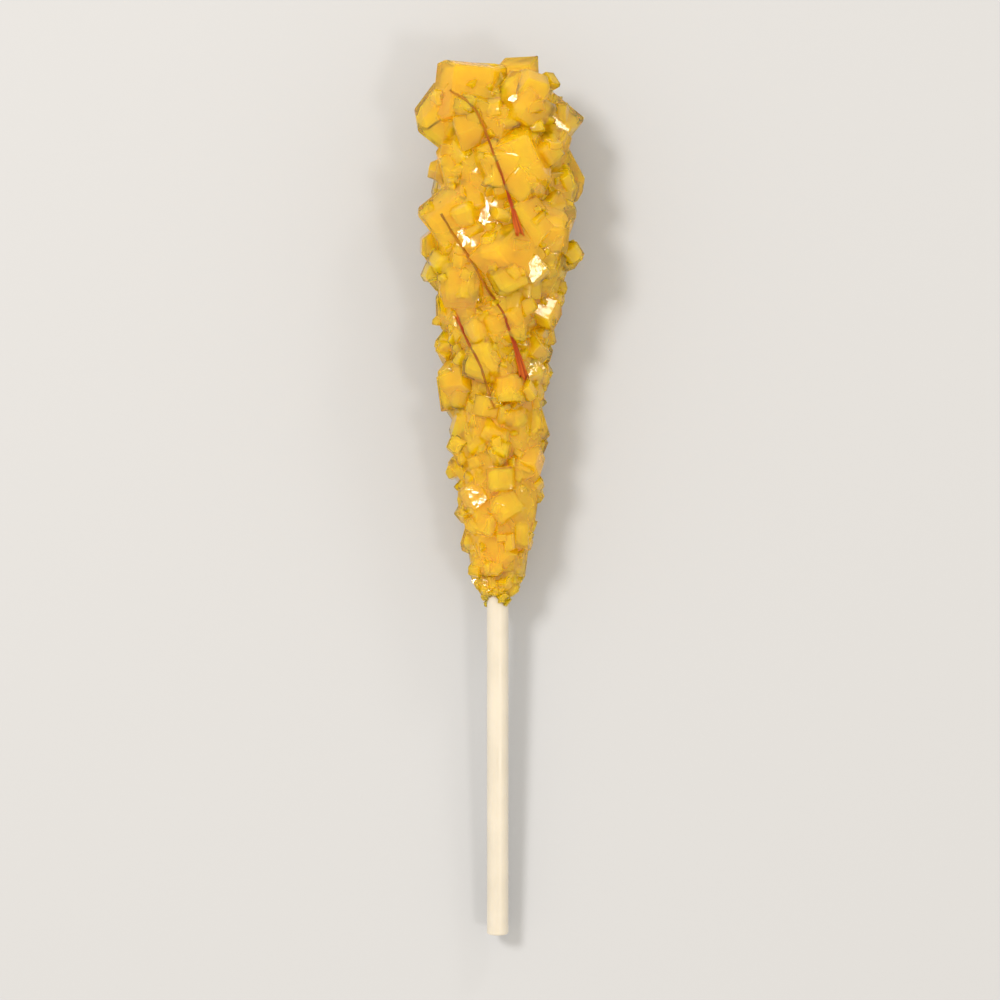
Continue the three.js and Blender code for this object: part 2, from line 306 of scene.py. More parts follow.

# %% [markdown]
# ## Growing the crystals
# Large crystals cover the thick end, and smaller ones the thin end. Some lie with a broad face outwards
# and some stand on end. The golden angle spreads them round the stick without rows. A few large ones that
# catch the eye in the photograph are placed one by one, the last of them at the right edge.

# %% Growing the crystals
# How many, their smallest and largest size, the stretch they cover from the tip, how far they stand out of
# the outline, the share that lie with a broad face outwards, and extra faces or not
KIND_VALUES = ("count", "small", "large", "from", "to", "proud", "lying", "extra")
KINDS = [dict(zip(KIND_VALUES, row)) for row in (
    (26, 6.4, 9.4, 0, 40, -0.4, 0.75, True),
    (40, 4.4, 6.4, 0, 68, 0, 0.6, True),
    (58, 3.2, 4.8, 30, 81, 0.2, 0.6, False),
    (26, 2.2, 3.0, 4, 80, 0.5, 0.4, False),
)]
LEAD_CRYSTALS = [  # middle: from the tip, to the right, over the axis; turn and tilt in degrees
    {"size": 9.8, "distance": 5.2, "across": -3.4, "height": 2.6, "turn": 84, "tilt": 8},
    {"size": 7.6, "distance": 3.9, "across": 3.2, "height": 0.6, "turn": 2, "tilt": -10},
    {"size": 8.6, "distance": 9.4, "across": -7.2, "height": 1.4, "turn": 52, "tilt": -14},
    {"size": 7.8, "distance": 9.8, "across": 8.0, "height": 0.8, "turn": -38, "tilt": 16},
    {"size": 11.5, "distance": 16.5, "across": 2.2, "height": 5.9, "turn": 24, "tilt": 5},
    {"size": 9.2, "distance": 25.0, "across": -6.4, "height": 4.6, "turn": 38, "tilt": -12},
    {"size": 10.0, "distance": 28.0, "across": 5.8, "height": 5.2, "turn": -20, "tilt": 12},
    {"size": 5.6, "distance": 38.6, "across": 6.6, "height": 3.0, "turn": 62, "tilt": 32},
    {"size": 6.2, "distance": 51.0, "across": -6.4, "height": 1.6, "turn": 8, "tilt": -10},
]
EDGE_CRYSTAL = {"size": 8.6, "distance": 18.4, "across": 8.5, "height": 0.8, "turn": 28, "tilt": 24}
SEED = 20260
GOLDEN_ANGLE = math.pi * (3 - math.sqrt(5))
TURN_JITTER = 0.7  # radians
TILT_JITTER = 0.45  # how far a crystal strays from facing straight out
REACH_JITTER = 0.06
UP = Vector((0, 0, 1))


def placed_crystal(kind, distance, turn, draw):
    """A crystal with its outermost corner on the outline, in the stick's own axes."""
    lift = max(0, 1 - distance / CAP_LENGTH) * math.pi / 2
    root = Vector((0, -max(distance, CAP_LENGTH), 0))
    flat = math.cos(lift)
    outward = Vector((flat * math.cos(turn), math.sin(lift), flat * math.sin(turn)))
    side = outline_reach(max(distance, CAP_LENGTH), turn)
    sideways = (flat / side) ** CAP_BLUNTNESS
    endways = (math.sin(lift) / CAP_LENGTH) ** CAP_BLUNTNESS
    reach = (sideways + endways) ** (-1 / CAP_BLUNTNESS)
    size = mixed_between(kind["small"], kind["large"], draw())
    stray = Vector((draw() - 0.5, draw() - 0.5, draw() - 0.5))
    facing = (outward + stray * 2 * TILT_JITTER).normalized()
    pole = face_normal(BROAD_FACE if draw() < kind["lying"] else LONG_AXIS)
    turned = Quaternion(facing, draw() * 2 * math.pi) @ pole.rotation_difference(facing)
    proud = kind["proud"] + (draw() - 0.5) * REACH_JITTER * reach
    corners, faces = crystal(size, kind["extra"], draw)
    corners = [turned @ corner for corner in corners]
    support = max(corner.dot(outward) for corner in corners)
    centre = root + outward * (reach + proud - support)
    return [corner + centre for corner in corners], faces


def lead_crystal(lead, draw):
    """A large crystal with its broad face up, turned about the vertical and tilted to one side."""
    turned = Quaternion(UP, math.radians(lead["turn"]))
    turned = turned @ Quaternion((0, 1, 0), math.radians(lead["tilt"]))
    turned = turned @ face_normal(BROAD_FACE).rotation_difference(UP)
    corners, faces = crystal(lead["size"], True, draw)
    centre = Vector((lead["across"], -lead["distance"], lead["height"]))
    return [turned @ corner + centre for corner in corners], faces


def grown_crystals(draw):
    """All the crystals that the solids have too, in the order in which their numbers were drawn."""
    crystals = [lead_crystal(lead, draw) for lead in LEAD_CRYSTALS]
    for kind in KINDS:
        for i in range(kind["count"]):
            distance = mixed_between(kind["from"], kind["to"], (i + draw()) / kind["count"])
            turn = i * GOLDEN_ANGLE + (draw() - 0.5) * TURN_JITTER
            crystals.append(placed_crystal(kind, distance, turn, draw))
    return crystals + [lead_crystal(EDGE_CRYSTAL, draw)]


print("crystals to grow:", len(LEAD_CRYSTALS) + sum(kind["count"] for kind in KINDS) + 1)

# %% [markdown]
# ## The sugar under the crystals
# Between the crystals lies solid sugar that grew first, close round the stick. It is a turned shape whose
# surface swells in and out, so that no smooth band shows in the clefts.

# %% The sugar under the crystals
CORE_SHARE = 0.86  # of the outline's reach
CORE_SIDES = 10
CORE_JITTER = 0.2


def core_shape(draw):
    """Corners and faces of the inner sugar, in the stick's own axes."""
    profile = [(min(left, right) * CORE_SHARE, -distance) for distance, left, right in reversed(OUTLINE)]
    rows = len(profile)
    swell = [[draw() for _ in range(CORE_SIDES)] for _ in range(rows + 2)]
    corners = []
    for row, (reach, y) in enumerate(profile):
        for side in range(CORE_SIDES):
            angle = 2 * math.pi * side / CORE_SIDES
            grown = reach * (1 + (swell[row + 1][side] - 0.5) * CORE_JITTER)
            corners.append(Vector((grown * math.sin(angle), y, grown * math.cos(angle) * depth_share(-y))))
    faces = []
    for row in range(rows - 1):
        for side in range(CORE_SIDES):
            here = row * CORE_SIDES + side
            beside = row * CORE_SIDES + (side + 1) % CORE_SIDES
            faces.append((here, beside, beside + CORE_SIDES, here + CORE_SIDES))
    low = len(corners)
    corners += [Vector((0, -CANDY_LENGTH, 0)), Vector((0, -CAP_LENGTH * (1 - CORE_SHARE), 0))]
    last = (rows - 1) * CORE_SIDES
    for side in range(CORE_SIDES):
        beside = (side + 1) % CORE_SIDES
        faces.append((low, beside, side))
        faces.append((low + 1, last + side, last + beside))
    return corners, faces


print("widest inner sugar:", round(2 * CORE_SHARE * max(min(row[1:]) for row in OUTLINE), 1), "mm")

# %% [markdown]
# ## Joining the sugar
# Every crystal becomes a small closed mesh with narrow bevels, since a real edge is never sharp and the
# bevel is what glints. One Boolean union then joins them, so that light passes from crystal to crystal
# without crossing walls that aren't there.

# %% Joining the sugar
BEVEL_SHARE = 0.02  # of a crystal's size
pick_tone = seeded(7)


def mesh_object(name, corners, faces, bevel=0.0, tone=0.5):
    """A closed mesh object from corners in millimetres, in the stick's own axes, in one tone."""
    shape = bmesh.new()
    verts = [shape.verts.new((to_table @ corner) * MM) for corner in corners]
    for face in faces:
        shape.faces.new([verts[n] for n in face])
    bmesh.ops.recalc_face_normals(shape, faces=shape.faces)
    if bevel:
        bmesh.ops.bevel(shape, geom=shape.edges[:], offset=bevel * MM, segments=1, affect="EDGES")
    mesh = bpy.data.meshes.new(name)
    shape.to_mesh(mesh)
    shape.free()
    tones = mesh.attributes.new("tone", "FLOAT", "FACE")
    tones.data.foreach_set("value", [tone] * len(mesh.polygons))
    return bpy.data.objects.new(name, mesh)


def bevelled(corners, faces):
    """A crystal's mesh object, with narrow bevels and a tone of its own."""
    size = max((corner - corners[0]).length for corner in corners)
    tone = pick_tone()
    return mesh_object("crystal", corners, faces, bevel=BEVEL_SHARE * size, tone=tone)


def join(base, others, operation="UNION"):
    """Joins other closed meshes to the base, or cuts them from it, by one Boolean. The others then go."""
    group = bpy.data.collections.new("joining")
    scene.collection.children.link(group)
    for other in others:
        group.objects.link(other)
    boolean = base.modifiers.new("joining", "BOOLEAN")
    boolean.operation = operation
    boolean.operand_type = "COLLECTION"
    boolean.collection = group
    boolean.solver = "MANIFOLD"
    bpy.context.view_layer.update()
    evaluated = base.evaluated_get(bpy.context.evaluated_depsgraph_get())
    mesh = bpy.data.meshes.new_from_object(evaluated)
    base.modifiers.clear()
    base.data = mesh
    for other in others:
        bpy.data.objects.remove(other)
    bpy.data.collections.remove(group)


draw = seeded(SEED)
core_corners, core_faces = core_shape(draw)
sugar = mesh_object("sugar_crystals", core_corners, core_faces)
scene.collection.objects.link(sugar)
main_crystals = grown_crystals(draw)
join(sugar, [bevelled(*shape) for shape in main_crystals])
print("main crystals:", len(main_crystals), "faces joined:", len(sugar.data.polygons))

# %% [markdown]
# ## Intergrown crystals
# Most crystals in the mass never stood free: they grew into each other, and only a shallow slanting facet
# of each shows. Each one is set by looking from outside towards the stick and sinking it where the look
# meets sugar, until only its outermost face stands proud. The large open faces stay mostly free of them.

# %% Intergrown crystals
LOOK_FROM = 40.0  # distance from the axis
SHALLOW_COUNT = 420
SHALLOW_FROM = 4.0
SHALLOW_BEYOND = 0.5  # past the candy's lower end
SHALLOW_SMALL = 2.2
SHALLOW_LARGE = 5.0
SHALLOW_SHRINK = 0.7  # how far the largest ones come down to the smallest at the thin end
SHALLOW_PROUD = 0.6  # the most that they stand out of the sugar
SHALLOW_STRAY = 0.7
SHALLOW_SLANT = 0.4  # how much they follow the slant of the sugar under them
SHALLOW_LYING = 0.6  # share that lie with a broad face outwards
OPEN_FACE = 0.9  # an open face lies less than this under the outline
OPEN_SHARE = 0.3  # share of the crystals that grow on open faces all the same


def seen_surface(tree, distance, turn):
    """Where a look from outside towards the stick meets the sugar, and the surface's direction there."""
    outward = Vector((math.cos(turn), 0, math.sin(turn)))
    aim = Vector((0, -distance, 0))
    start = to_table @ (aim + outward * LOOK_FROM)
    inward = -(to_table.to_3x3() @ outward)
    place, normal, _, _ = tree.ray_cast(start * MM, inward)
    if place is None:
        return None
    back = to_table.inverted()
    return back @ (place / MM), back.to_3x3() @ normal


def tree_of(thing):
    """The object's faces in a search tree, for looking from outside."""
    return BVHTree.FromObject(thing, bpy.context.evaluated_depsgraph_get())


def shallow_crystals(tree, draw):
    """The crystals of which only a shallow facet shows."""
    crystals = []
    for i in range(SHALLOW_COUNT):
        place_along = (i + draw()) / SHALLOW_COUNT
        distance = mixed_between(SHALLOW_FROM, CANDY_LENGTH + SHALLOW_BEYOND, place_along)
        turn = i * GOLDEN_ANGLE + (draw() - 0.5) * TURN_JITTER
        shrunk = distance / CANDY_LENGTH * SHALLOW_SHRINK
        largest = mixed_between(SHALLOW_LARGE, SHALLOW_SMALL, shrunk)
        size = mixed_between(SHALLOW_SMALL, largest, draw())
        stray = Vector((draw() - 0.5, draw() - 0.5, draw() - 0.5))
        spin, proud, lying, kept = draw(), draw(), draw(), draw()
        corners, faces = crystal(size, True, draw)
        seen = seen_surface(tree, distance, turn)
        if seen is None:
            continue
        place, normal = seen
        depth = outline_reach(max(distance, CAP_LENGTH), turn) - math.hypot(place.x, place.z)
        if depth < OPEN_FACE and kept > OPEN_SHARE:
            continue
        outward = Vector((math.cos(turn), 0, math.sin(turn)))
        facing = (normal * SHALLOW_SLANT + outward + stray * SHALLOW_STRAY).normalized()
        pole = face_normal(BROAD_FACE if lying < SHALLOW_LYING else LONG_AXIS)
        turned = Quaternion(facing, spin * 2 * math.pi) @ pole.rotation_difference(facing)
        corners = [turned @ corner for corner in corners]
        support = max(corner.dot(outward) for corner in corners)
        centre = place + outward * (SHALLOW_PROUD * proud - support)
        crystals.append(([corner + centre for corner in corners], faces))
    return crystals


grown_in = shallow_crystals(tree_of(sugar), draw)
join(sugar, [bevelled(*shape) for shape in grown_in])
print("intergrown crystals:", len(grown_in), "faces joined:", len(sugar.data.polygons))

# %% [markdown]
# ## Small crystals
# Young crystals of 1 to 2 mm crowd the clefts between the large ones, and a few sit on open faces. They
# are placed by looking from outside towards the stick and setting each one where the look meets sugar, a
# little sunk in. Scattering them blindly would lose most of them inside the large crystals.

# %% Small crystals
FINE_COUNT = 500
FINE_FROM = 3.0
FINE_BEYOND = 1.0  # past the candy's lower end
FINE_SMALL = 1.0
FINE_LARGE = 2.2
FINE_SUNK = 0.3  # of its size
FINE_STRAY = 1.6
CLEFT_DEPTH = 1.6  # this far under the outline counts as a cleft
FINE_OPEN_SHARE = 0.1  # share of the small crystals that stay on open faces
EDGE_COUNT = 70  # crystals on the bare stick under the candy
EDGE_LENGTH = 4.5
EDGE_LARGE = 3.0
EDGE_SMALL = 0.7
EDGE_UNEVEN = (0.7, 1.1)  # smallest and largest share of the size that its place would give
EDGE_PROUD = 0.1  # of its size, from the stick's surface to the crystal's middle


def small_crystals(tree, draw):
    """The young crystals in the clefts, and a few on open faces."""
    crystals = []
    for i in range(FINE_COUNT):
        distance = mixed_between(FINE_FROM, CANDY_LENGTH + FINE_BEYOND, (i + draw()) / FINE_COUNT)
        turn = i * GOLDEN_ANGLE + (draw() - 0.5) * TURN_JITTER
        size = mixed_between(FINE_SMALL, FINE_LARGE, draw() ** 2)
        stray = Vector((draw() - 0.5, draw() - 0.5, draw() - 0.5))
        spin, kept = draw(), draw()
        corners, faces = crystal(size, False, draw)
        seen = seen_surface(tree, distance, turn)
        if seen is None:
            continue
        place, normal = seen
        cleft = outline_reach(max(distance, CAP_LENGTH), turn) - math.hypot(place.x, place.z)
        if cleft < CLEFT_DEPTH and kept > FINE_OPEN_SHARE:
            continue
        facing = (normal + stray * FINE_STRAY).normalized()
        turned = Quaternion(facing, spin * 2 * math.pi)
        turned = turned @ face_normal(LONG_AXIS).rotation_difference(facing)
        centre = place - facing * FINE_SUNK * size
        crystals.append(([turned @ corner + centre for corner in corners], faces))
    return crystals


def crystals_on_stick(draw):
    """The last few crystals, ever smaller and fewer, on the bare stick under the candy."""
    crystals = []
    for i in range(EDGE_COUNT):
        far = draw() ** 2
        turn = i * GOLDEN_ANGLE + draw()
        size = mixed_between(EDGE_LARGE, EDGE_SMALL, far) * mixed_between(*EDGE_UNEVEN, draw())
        outward = Vector((math.cos(turn), 0, math.sin(turn)))
        stray = Vector((draw() - 0.5, draw() - 0.5, draw() - 0.5))
        facing = (outward + stray).normalized()
        corners, faces = crystal(size, False, draw)
        turned = face_normal(LONG_AXIS).rotation_difference(facing)
        centre = outward * (radius + EDGE_PROUD * size) - Vector((0, CANDY_LENGTH + far * EDGE_LENGTH, 0))
        crystals.append(([turned @ corner + centre for corner in corners], faces))
    return crystals


fine_crystals = small_crystals(tree_of(sugar), draw) + crystals_on_stick(draw)
join(sugar, [bevelled(*shape) for shape in fine_crystals])
print("small crystals:", len(fine_crystals), "faces joined:", len(sugar.data.polygons))

# %% [markdown]
# ## Where the candy rests
# The lowest crystals are flat where the stick lies, as they grew against a flat wall. A large block under
# the table's plane is cut from the sugar.

# %% Where the candy rests
TABLE_SIZE = 200.0


def cut_at(thing, height):
    """Cuts away all that lies below a height over the table."""
    block = bmesh.new()
    bmesh.ops.create_cube(block, size=TABLE_SIZE * MM)
    bmesh.ops.translate(block, verts=block.verts, vec=(0, 0, (height - TABLE_SIZE / 2) * MM))
    mesh = bpy.data.meshes.new("table_block")
    block.to_mesh(mesh)
    block.free()
    join(thing, [bpy.data.objects.new("table_block", mesh)], operation="DIFFERENCE")


cut_at(sugar, 0)
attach(sugar, "root")
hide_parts("rock_candy")
print("lowest sugar in mm:", round(min(vert.co.z for vert in sugar.data.vertices) / MM, 3))

# %% [markdown]
# ## Cloudy hearts
# Syrup trapped as a crystal grows makes its middle cloudy, and only its outer millimetre or less is as clear
# as glass. The cloudy part gives the candy its warm, full yellow, seen through the clear one. It is a closed
# body of its own inside the sugar: the inner sugar and every crystal, each drawn in towards its own middle
# by a different share, with rounded edges, because the cloud has no sharp ones. A volume that scatters light
# would do the same, but takes far longer to render.

# %% Cloudy hearts
HEART_SMALL = 0.76  # of the crystal's size, where the clear sugar is thickest
HEART_LARGE = 0.94  # and where it is thinnest
HEART_ROUNDING = 0.09  # of its size
CORE_DRAWN_IN = 0.93
CORE_PULLED_UP = 1.5  # clear sugar below the cloud at the candy's lower end
HEART_CLEARANCE = 0.5  # above the table


def heart_object(corners, faces, share):
    """The cloudy middle of a crystal: the same block, smaller and rounder."""
    centre = sum(corners, Vector()) / len(corners)
    inner = [centre + (corner - centre) * share for corner in corners]
    size = max((corner - inner[0]).length for corner in inner)
    return mesh_object("heart", inner, faces, bevel=HEART_ROUNDING * size)


inner_core = []
for corner in core_corners:
    y = max(corner.y, CORE_PULLED_UP - CANDY_LENGTH)
    inner_core.append(Vector((corner.x * CORE_DRAWN_IN, y, corner.z * CORE_DRAWN_IN)))
heart = mesh_object("cloudy_sugar", inner_core, core_faces)
scene.collection.objects.link(heart)
pick_share = seeded(11)
hearts = [
    heart_object(corners, faces, mixed_between(HEART_SMALL, HEART_LARGE, pick_share()))
    for corners, faces in main_crystals + grown_in + fine_crystals
]
join(heart, hearts)
cut_at(heart, HEART_CLEARANCE)
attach(heart, "root")
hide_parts("rock_candy")
print("cloudy crystals:", len(hearts), "faces joined:", len(heart.data.polygons))

# %% [markdown]
# ## Saffron threads
# A saffron thread is the dried stigma of a crocus: a stalk half a millimetre thick that widens into a
# rolled, ragged trumpet. Each one here is a tube along a line that is let down on the crystals. The line is
# smoothed, because a dry thread is too stiff to follow every step and bridges the clefts.

# %% Saffron threads
THREADS = [  # side of the candy, radius of the flare, places from the tip and across the stick
    (1, 0.6, ((4.9, -7.5), (7.3, -4.6), (10.8, -2.2), (16.5, -0.3), (20.8, 1.5), (27.8, 3.2))),
    (1, 0.7, ((24.3, -9.0), (29.1, -5.9), (34.8, -2.4), (39.6, 0.6), (42.6, 1.9), (50.0, 4.1))),
    (1, 0.32, ((54.8, -0.5), (49.1, -2.4), (44.3, -4.6), (40.0, -6.6))),
    (-1, 0.65, ((14.0, 9.2), (20.0, 7.0), (27.0, 6.6), (33.5, 8.0))),
    (-1, 0.5, ((58.0, -4.6), (52.0, -5.4), (46.0, -6.4), (39.0, -6.2))),
]
THREAD_RINGS = 56
THREAD_SIDES = 15
STALK_RADIUS = 0.19
FLARE_START = 0.78
FLARE_BEND = 1.3
FLATNESS = 0.55  # thickness against width
GROOVE = 0.2  # depth of the three grooves along a thread, against its width
THREAD_SINK = 0.12  # below the height at which the thread would rest
TRUMPET_DEPTH = 1.4  # of the hollow in the flared end
TRUMPET_RINGS = ((0.82, 0.0), (0.5, 0.5), (0.2, 1.0))  # shares of the rim's width and of the depth
RAGGED = 1.5  # how far the teeth of the rim stand out
TOOTH_LEVEL = 0.6  # teeth above it stand out, those below it are notches
TEETH_FROM = 0.9  # share of the thread's length
SLOW_SWELL = 0.1  # of the width
SLOW_WAVES = 37  # radians along a thread
QUICK_SWELL = 0.06
QUICK_WAVES = 83
THREAD_TWIST = 2.5  # radians along a thread
SMOOTHING = 5  # rounds
WANDER = ((9.0, 0.1), (2.6, 0.03))  # lengths and widths of a dry thread's bends


def smooth_step(share, start, end):
    """From 0 at the start to 1 at the end, gently at both."""
    share = min(max((share - start) / (end - start), 0), 1)
    return share * share * (3 - 2 * share)


def curve_through(points, count):
    """Evenly numbered points on a smooth curve through the given ones."""
    ends = [2 * points[0] - points[1], *points, 2 * points[-1] - points[-2]]
    made = []
    for n in range(count):
        whole = n / (count - 1) * (len(points) - 1)
        i = min(int(whole), len(points) - 2)
        t = whole - i
        a, b, c, d = ends[i:i + 4]
        made.append(0.5 * (2 * b + (c - a) * t + (2 * a - 5 * b + 4 * c - d) * t * t
                           + (3 * b - a - 3 * c + d) * t ** 3))
    return made


def thread_line(tree, side, route, draw):
    """The thread's middle line in millimetres on the table, from its stalk to its flared end."""
    flat = curve_through([Vector((candy_tip.x + x, candy_tip.y - s, 0)) for s, x in route], THREAD_RINGS)
    length = sum((b - a).length for a, b in zip(flat, flat[1:]))
    for wave, width in WANDER:
        phase = draw() * 2 * math.pi
        for n, point in enumerate(flat):
            point.x += width * math.sin(phase + n / (THREAD_RINGS - 1) * length / wave * 2 * math.pi)
    heights = []
    for point in flat:
        start = Vector((point.x, point.y, side * LOOK_FROM * 2)) * MM
        place, _, _, _ = tree.ray_cast(start, Vector((0, 0, -side)))
        heights.append(place.z / MM * side)
    for _ in range(SMOOTHING):
        raised = [max(heights[max(0, i - 1):i + 2]) for i in range(len(heights))]
        near = [raised[max(0, i - 2):i + 3] for i in range(len(raised))]
        heights = [(height + sum(row) / len(row)) / 2 for height, row in zip(heights, near)]
    return [Vector((p.x, p.y, side * (h - THREAD_SINK))) for p, h in zip(flat, heights)]


def add_thread(shape, fibre, line, flare_radius, draw):
    """Rings of corners along the line, a ragged rim, and the hollow inside the trumpet."""
    twist = draw() * math.pi
    teeth = [draw() for _ in range(THREAD_SIDES)]
    rings = [(n / (THREAD_RINGS - 1), 1.0, 0.0) for n in range(THREAD_RINGS)]
    rings += [(1.0, narrow, back * TRUMPET_DEPTH) for narrow, back in TRUMPET_RINGS]
    rows = []
    for share, narrow, back in rings:
        i = min(int(share * (THREAD_RINGS - 1)), THREAD_RINGS - 2)
        along = (line[i + 1] - line[i]).normalized()
        sideways = along.cross(UP).normalized()
        upward = sideways.cross(along)
        flare = smooth_step(share, FLARE_START, 1) ** FLARE_BEND
        width = mixed_between(STALK_RADIUS, flare_radius, flare) * narrow
        swell = SLOW_SWELL * math.sin(share * SLOW_WAVES + twist)
        swell += QUICK_SWELL * math.sin(share * QUICK_WAVES)
        width *= 1 + swell
        row = []
        for side in range(THREAD_SIDES):
            angle = 2 * math.pi * side / THREAD_SIDES + twist + share * THREAD_TWIST
            groove = 1 - GROOVE * math.cos(3 * angle)
            tooth = RAGGED * (teeth[side] - TOOTH_LEVEL) * smooth_step(share, TEETH_FROM, 1) * narrow
            centre = line[-1] if share == 1 else line[i]
            point = centre + along * (tooth - back)
            point = point + sideways * width * groove * math.cos(angle)
            point = point + upward * width * groove * FLATNESS * math.sin(angle)
            vert = shape.verts.new(point * MM)
            vert[fibre] = (math.cos(angle), math.sin(angle), share)
            row.append(vert)
        rows.append(row)
    for row, following in zip(rows, rows[1:]):
        for side in range(THREAD_SIDES):
            beside = (side + 1) % THREAD_SIDES
            shape.faces.new((row[side], row[beside], following[beside], following[side]))
    shape.faces.new(reversed(rows[0]))
    shape.faces.new(rows[-1])


sugar_tree = tree_of(sugar)
shape = bmesh.new()
fibre = shape.verts.layers.float_vector.new("fibre")  # direction round the thread, and share of its length
for side, flare_radius, route in THREADS:
    line = thread_line(sugar_tree, side, route, draw)
    add_thread(shape, fibre, line, flare_radius, draw)
bmesh.ops.recalc_face_normals(shape, faces=shape.faces)
for face in shape.faces:
    face.smooth = True
thread_mesh = bpy.data.meshes.new("saffron_threads")
shape.to_mesh(thread_mesh)
shape.free()
threads = bpy.data.objects.new("saffron_threads", thread_mesh)
scene.collection.objects.link(threads)
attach(threads, "root")
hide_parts("rock_candy")
print("threads:", len(THREADS), "faces:", len(thread_mesh.polygons))

# %% [markdown]
# ## The stick
# The stick is a polypropylene rod, drawn through a round die and sheared to length, with a small rounding
# at its ends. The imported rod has 32 flat sides, so a rounder one takes its place.

# %% The stick
ROD_SIDES = 96
ROD_ROUNDING = 0.35  # radius of the rounding at the ends
ROUND_STEPS = 5


def rod_rings():
    """Place along the rod and reach from its axis, for each ring from the lower end to the upper one."""
    length = (upper_end - lower_end).length
    rounding = []
    for n in range(ROUND_STEPS + 1):
        angle = math.pi / 2 * n / ROUND_STEPS
        place = ROD_ROUNDING * (1 - math.cos(angle))
        rounding.append((place, radius - ROD_ROUNDING * (1 - math.sin(angle))))
    return rounding + [(length - place, reach) for place, reach in reversed(rounding)]


def rod_object():
    """The rod as a closed tube with rounded ends."""
    rod = bmesh.new()
    sideways = Vector((1, 0, 0))
    upward = sideways.cross(along_stick)
    rows = []
    for place, reach in rod_rings():
        centre = lower_end + along_stick * place
        row = []
        for side in range(ROD_SIDES):
            angle = 2 * math.pi * side / ROD_SIDES
            outward = sideways * math.cos(angle) + upward * math.sin(angle)
            row.append(rod.verts.new((centre + outward * reach) * MM))
        rows.append(row)
    for row, following in zip(rows, rows[1:]):
        for side in range(ROD_SIDES):
            beside = (side + 1) % ROD_SIDES
            rod.faces.new((row[side], row[beside], following[beside], following[side])).smooth = True
    rod.faces.new(rows[0])
    rod.faces.new(rows[-1])
    bmesh.ops.recalc_face_normals(rod, faces=rod.faces)
    mesh = bpy.data.meshes.new("rod")
    rod.to_mesh(mesh)
    rod.free()
    return bpy.data.objects.new("rod", mesh)


rod = rod_object()
scene.collection.objects.link(rod)
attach(rod, "root")
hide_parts("stick")
print("rod faces:", len(rod.data.polygons))

# %% [markdown]
# ## Saffron rock sugar
# The outer sugar is sucrose grown from syrup: IOR 1.54, and faces as flat and glossy as glass. Saffron
# colours it through. Most of the light goes straight in and turns yellow on its way, because the sugar
# swallows the blue, and a small share is scattered just under the surface. Clear glass alone would look dark
# and glittering, and a plain yellow surface like wax. Each crystal has a tone of its own, kept on its faces:
# the lower tones are deeper in colour and a little cloudier. Slow waves and fine growth steps on the faces
# break up their gleam, and damp air has etched some of them a little duller.

# %% Saffron rock sugar
SUGAR_IOR = 1.54
CLEAR_LOW = 0.8  # share of the light that goes straight in, where the sugar is cloudiest
CLEAR_HIGH = 0.96  # and clearest
LET_THROUGH = (0.9995, 0.95, 0.02, 1.0)  # red, green and blue
SWALLOWED = 250.0  # density of the absorption: blue fades within a few millimetres
PATCH = 6 * MM  # patches of cloudier and duller sugar
WAVE_SIZE = 2.5 * MM  # slow waves in a face
STEP_SIZE = 0.5 * MM  # growth steps, drawn some five times as coarse as real ones so that they show
sugar_material, tree = new_material("saffron_rock_sugar")
place = add(tree, "ShaderNodeTexCoord").outputs["Object"]
tone = add(tree, "ShaderNodeAttribute", attribute_name="tone").outputs["Fac"]
patch = add(tree, "ShaderNodeTexNoise", {"Vector": place, "Scale": 1 / PATCH, "Detail": 2.0})
patches = patch.outputs["Fac"]
mixed = add(tree, "ShaderNodeMath", {0: tone, 1: patches}, operation="ADD").outputs["Value"]
colour = add(tree, "ShaderNodeValToRGB", {"Fac": tone}, stops=[
    (0.0, "#FFDA2A"), (0.5, "#FFE038"), (1.0, "#FFE854"),
])
clearness = add(tree, "ShaderNodeMapRange", {
    "Value": mixed,
    "From Min": 0.4,
    "From Max": 1.6,
    "To Min": CLEAR_LOW,
    "To Max": CLEAR_HIGH,
})
etched = add(tree, "ShaderNodeMapRange", {
    "Value": patches,
    "From Min": 0.35,
    "From Max": 0.7,
    "To Min": 0.04,
    "To Max": 0.16,
})
waves = add(tree, "ShaderNodeTexNoise", {"Vector": place, "Scale": 1 / WAVE_SIZE, "Detail": 3.0})
wavy = add(tree, "ShaderNodeBump", {"Height": waves.outputs["Fac"], "Strength": 0.6, "Distance": 0.3 * MM})
steps = add(tree, "ShaderNodeTexNoise", {"Vector": place, "Scale": 1 / STEP_SIZE, "Detail": 2.0})
stepped = add(tree, "ShaderNodeBump", {
    "Height": steps.outputs["Fac"],
    "Strength": 0.15,
    "Distance": 0.05 * MM,
    "Normal": wavy.outputs["Normal"],
})
clear = add(tree, "ShaderNodeBsdfPrincipled", {
    "Base Color": colour.outputs["Color"],
    "Roughness": etched.outputs["Result"],
    "IOR": SUGAR_IOR,
    "Transmission Weight": clearness.outputs["Result"],
    "Subsurface Weight": 1.0,
    "Subsurface Scale": 1.0,
    "Subsurface Radius": (2 * MM, 1.8 * MM, 0.3 * MM),
    "Normal": stepped.outputs["Normal"],
})
inside = add(tree, "ShaderNodeVolumeAbsorption", {"Color": LET_THROUGH, "Density": SWALLOWED})
output = add(tree, "ShaderNodeOutputMaterial", {
    "Surface": clear.outputs["BSDF"],
    "Volume": inside.outputs["Volume"],
})
sugar.data.materials.clear()
sugar.data.materials.append(sugar_material)
print("tones on the sugar:", "tone" in sugar.data.attributes, "nodes:", len(tree.nodes))

# %% [markdown]
# ## Cloudy sugar
# Syrup and fine air bubbles in the middle of each crystal scatter light, like wax does. So it is a rough
# surface with light going some millimetres under it, in full saffron yellow with paler clouds. Red and green
# go nearly as far as each other there: if red went much farther, thin crystals would turn green. The surface
# has no gloss of its own, because sugar meets sugar there and nothing reflects.

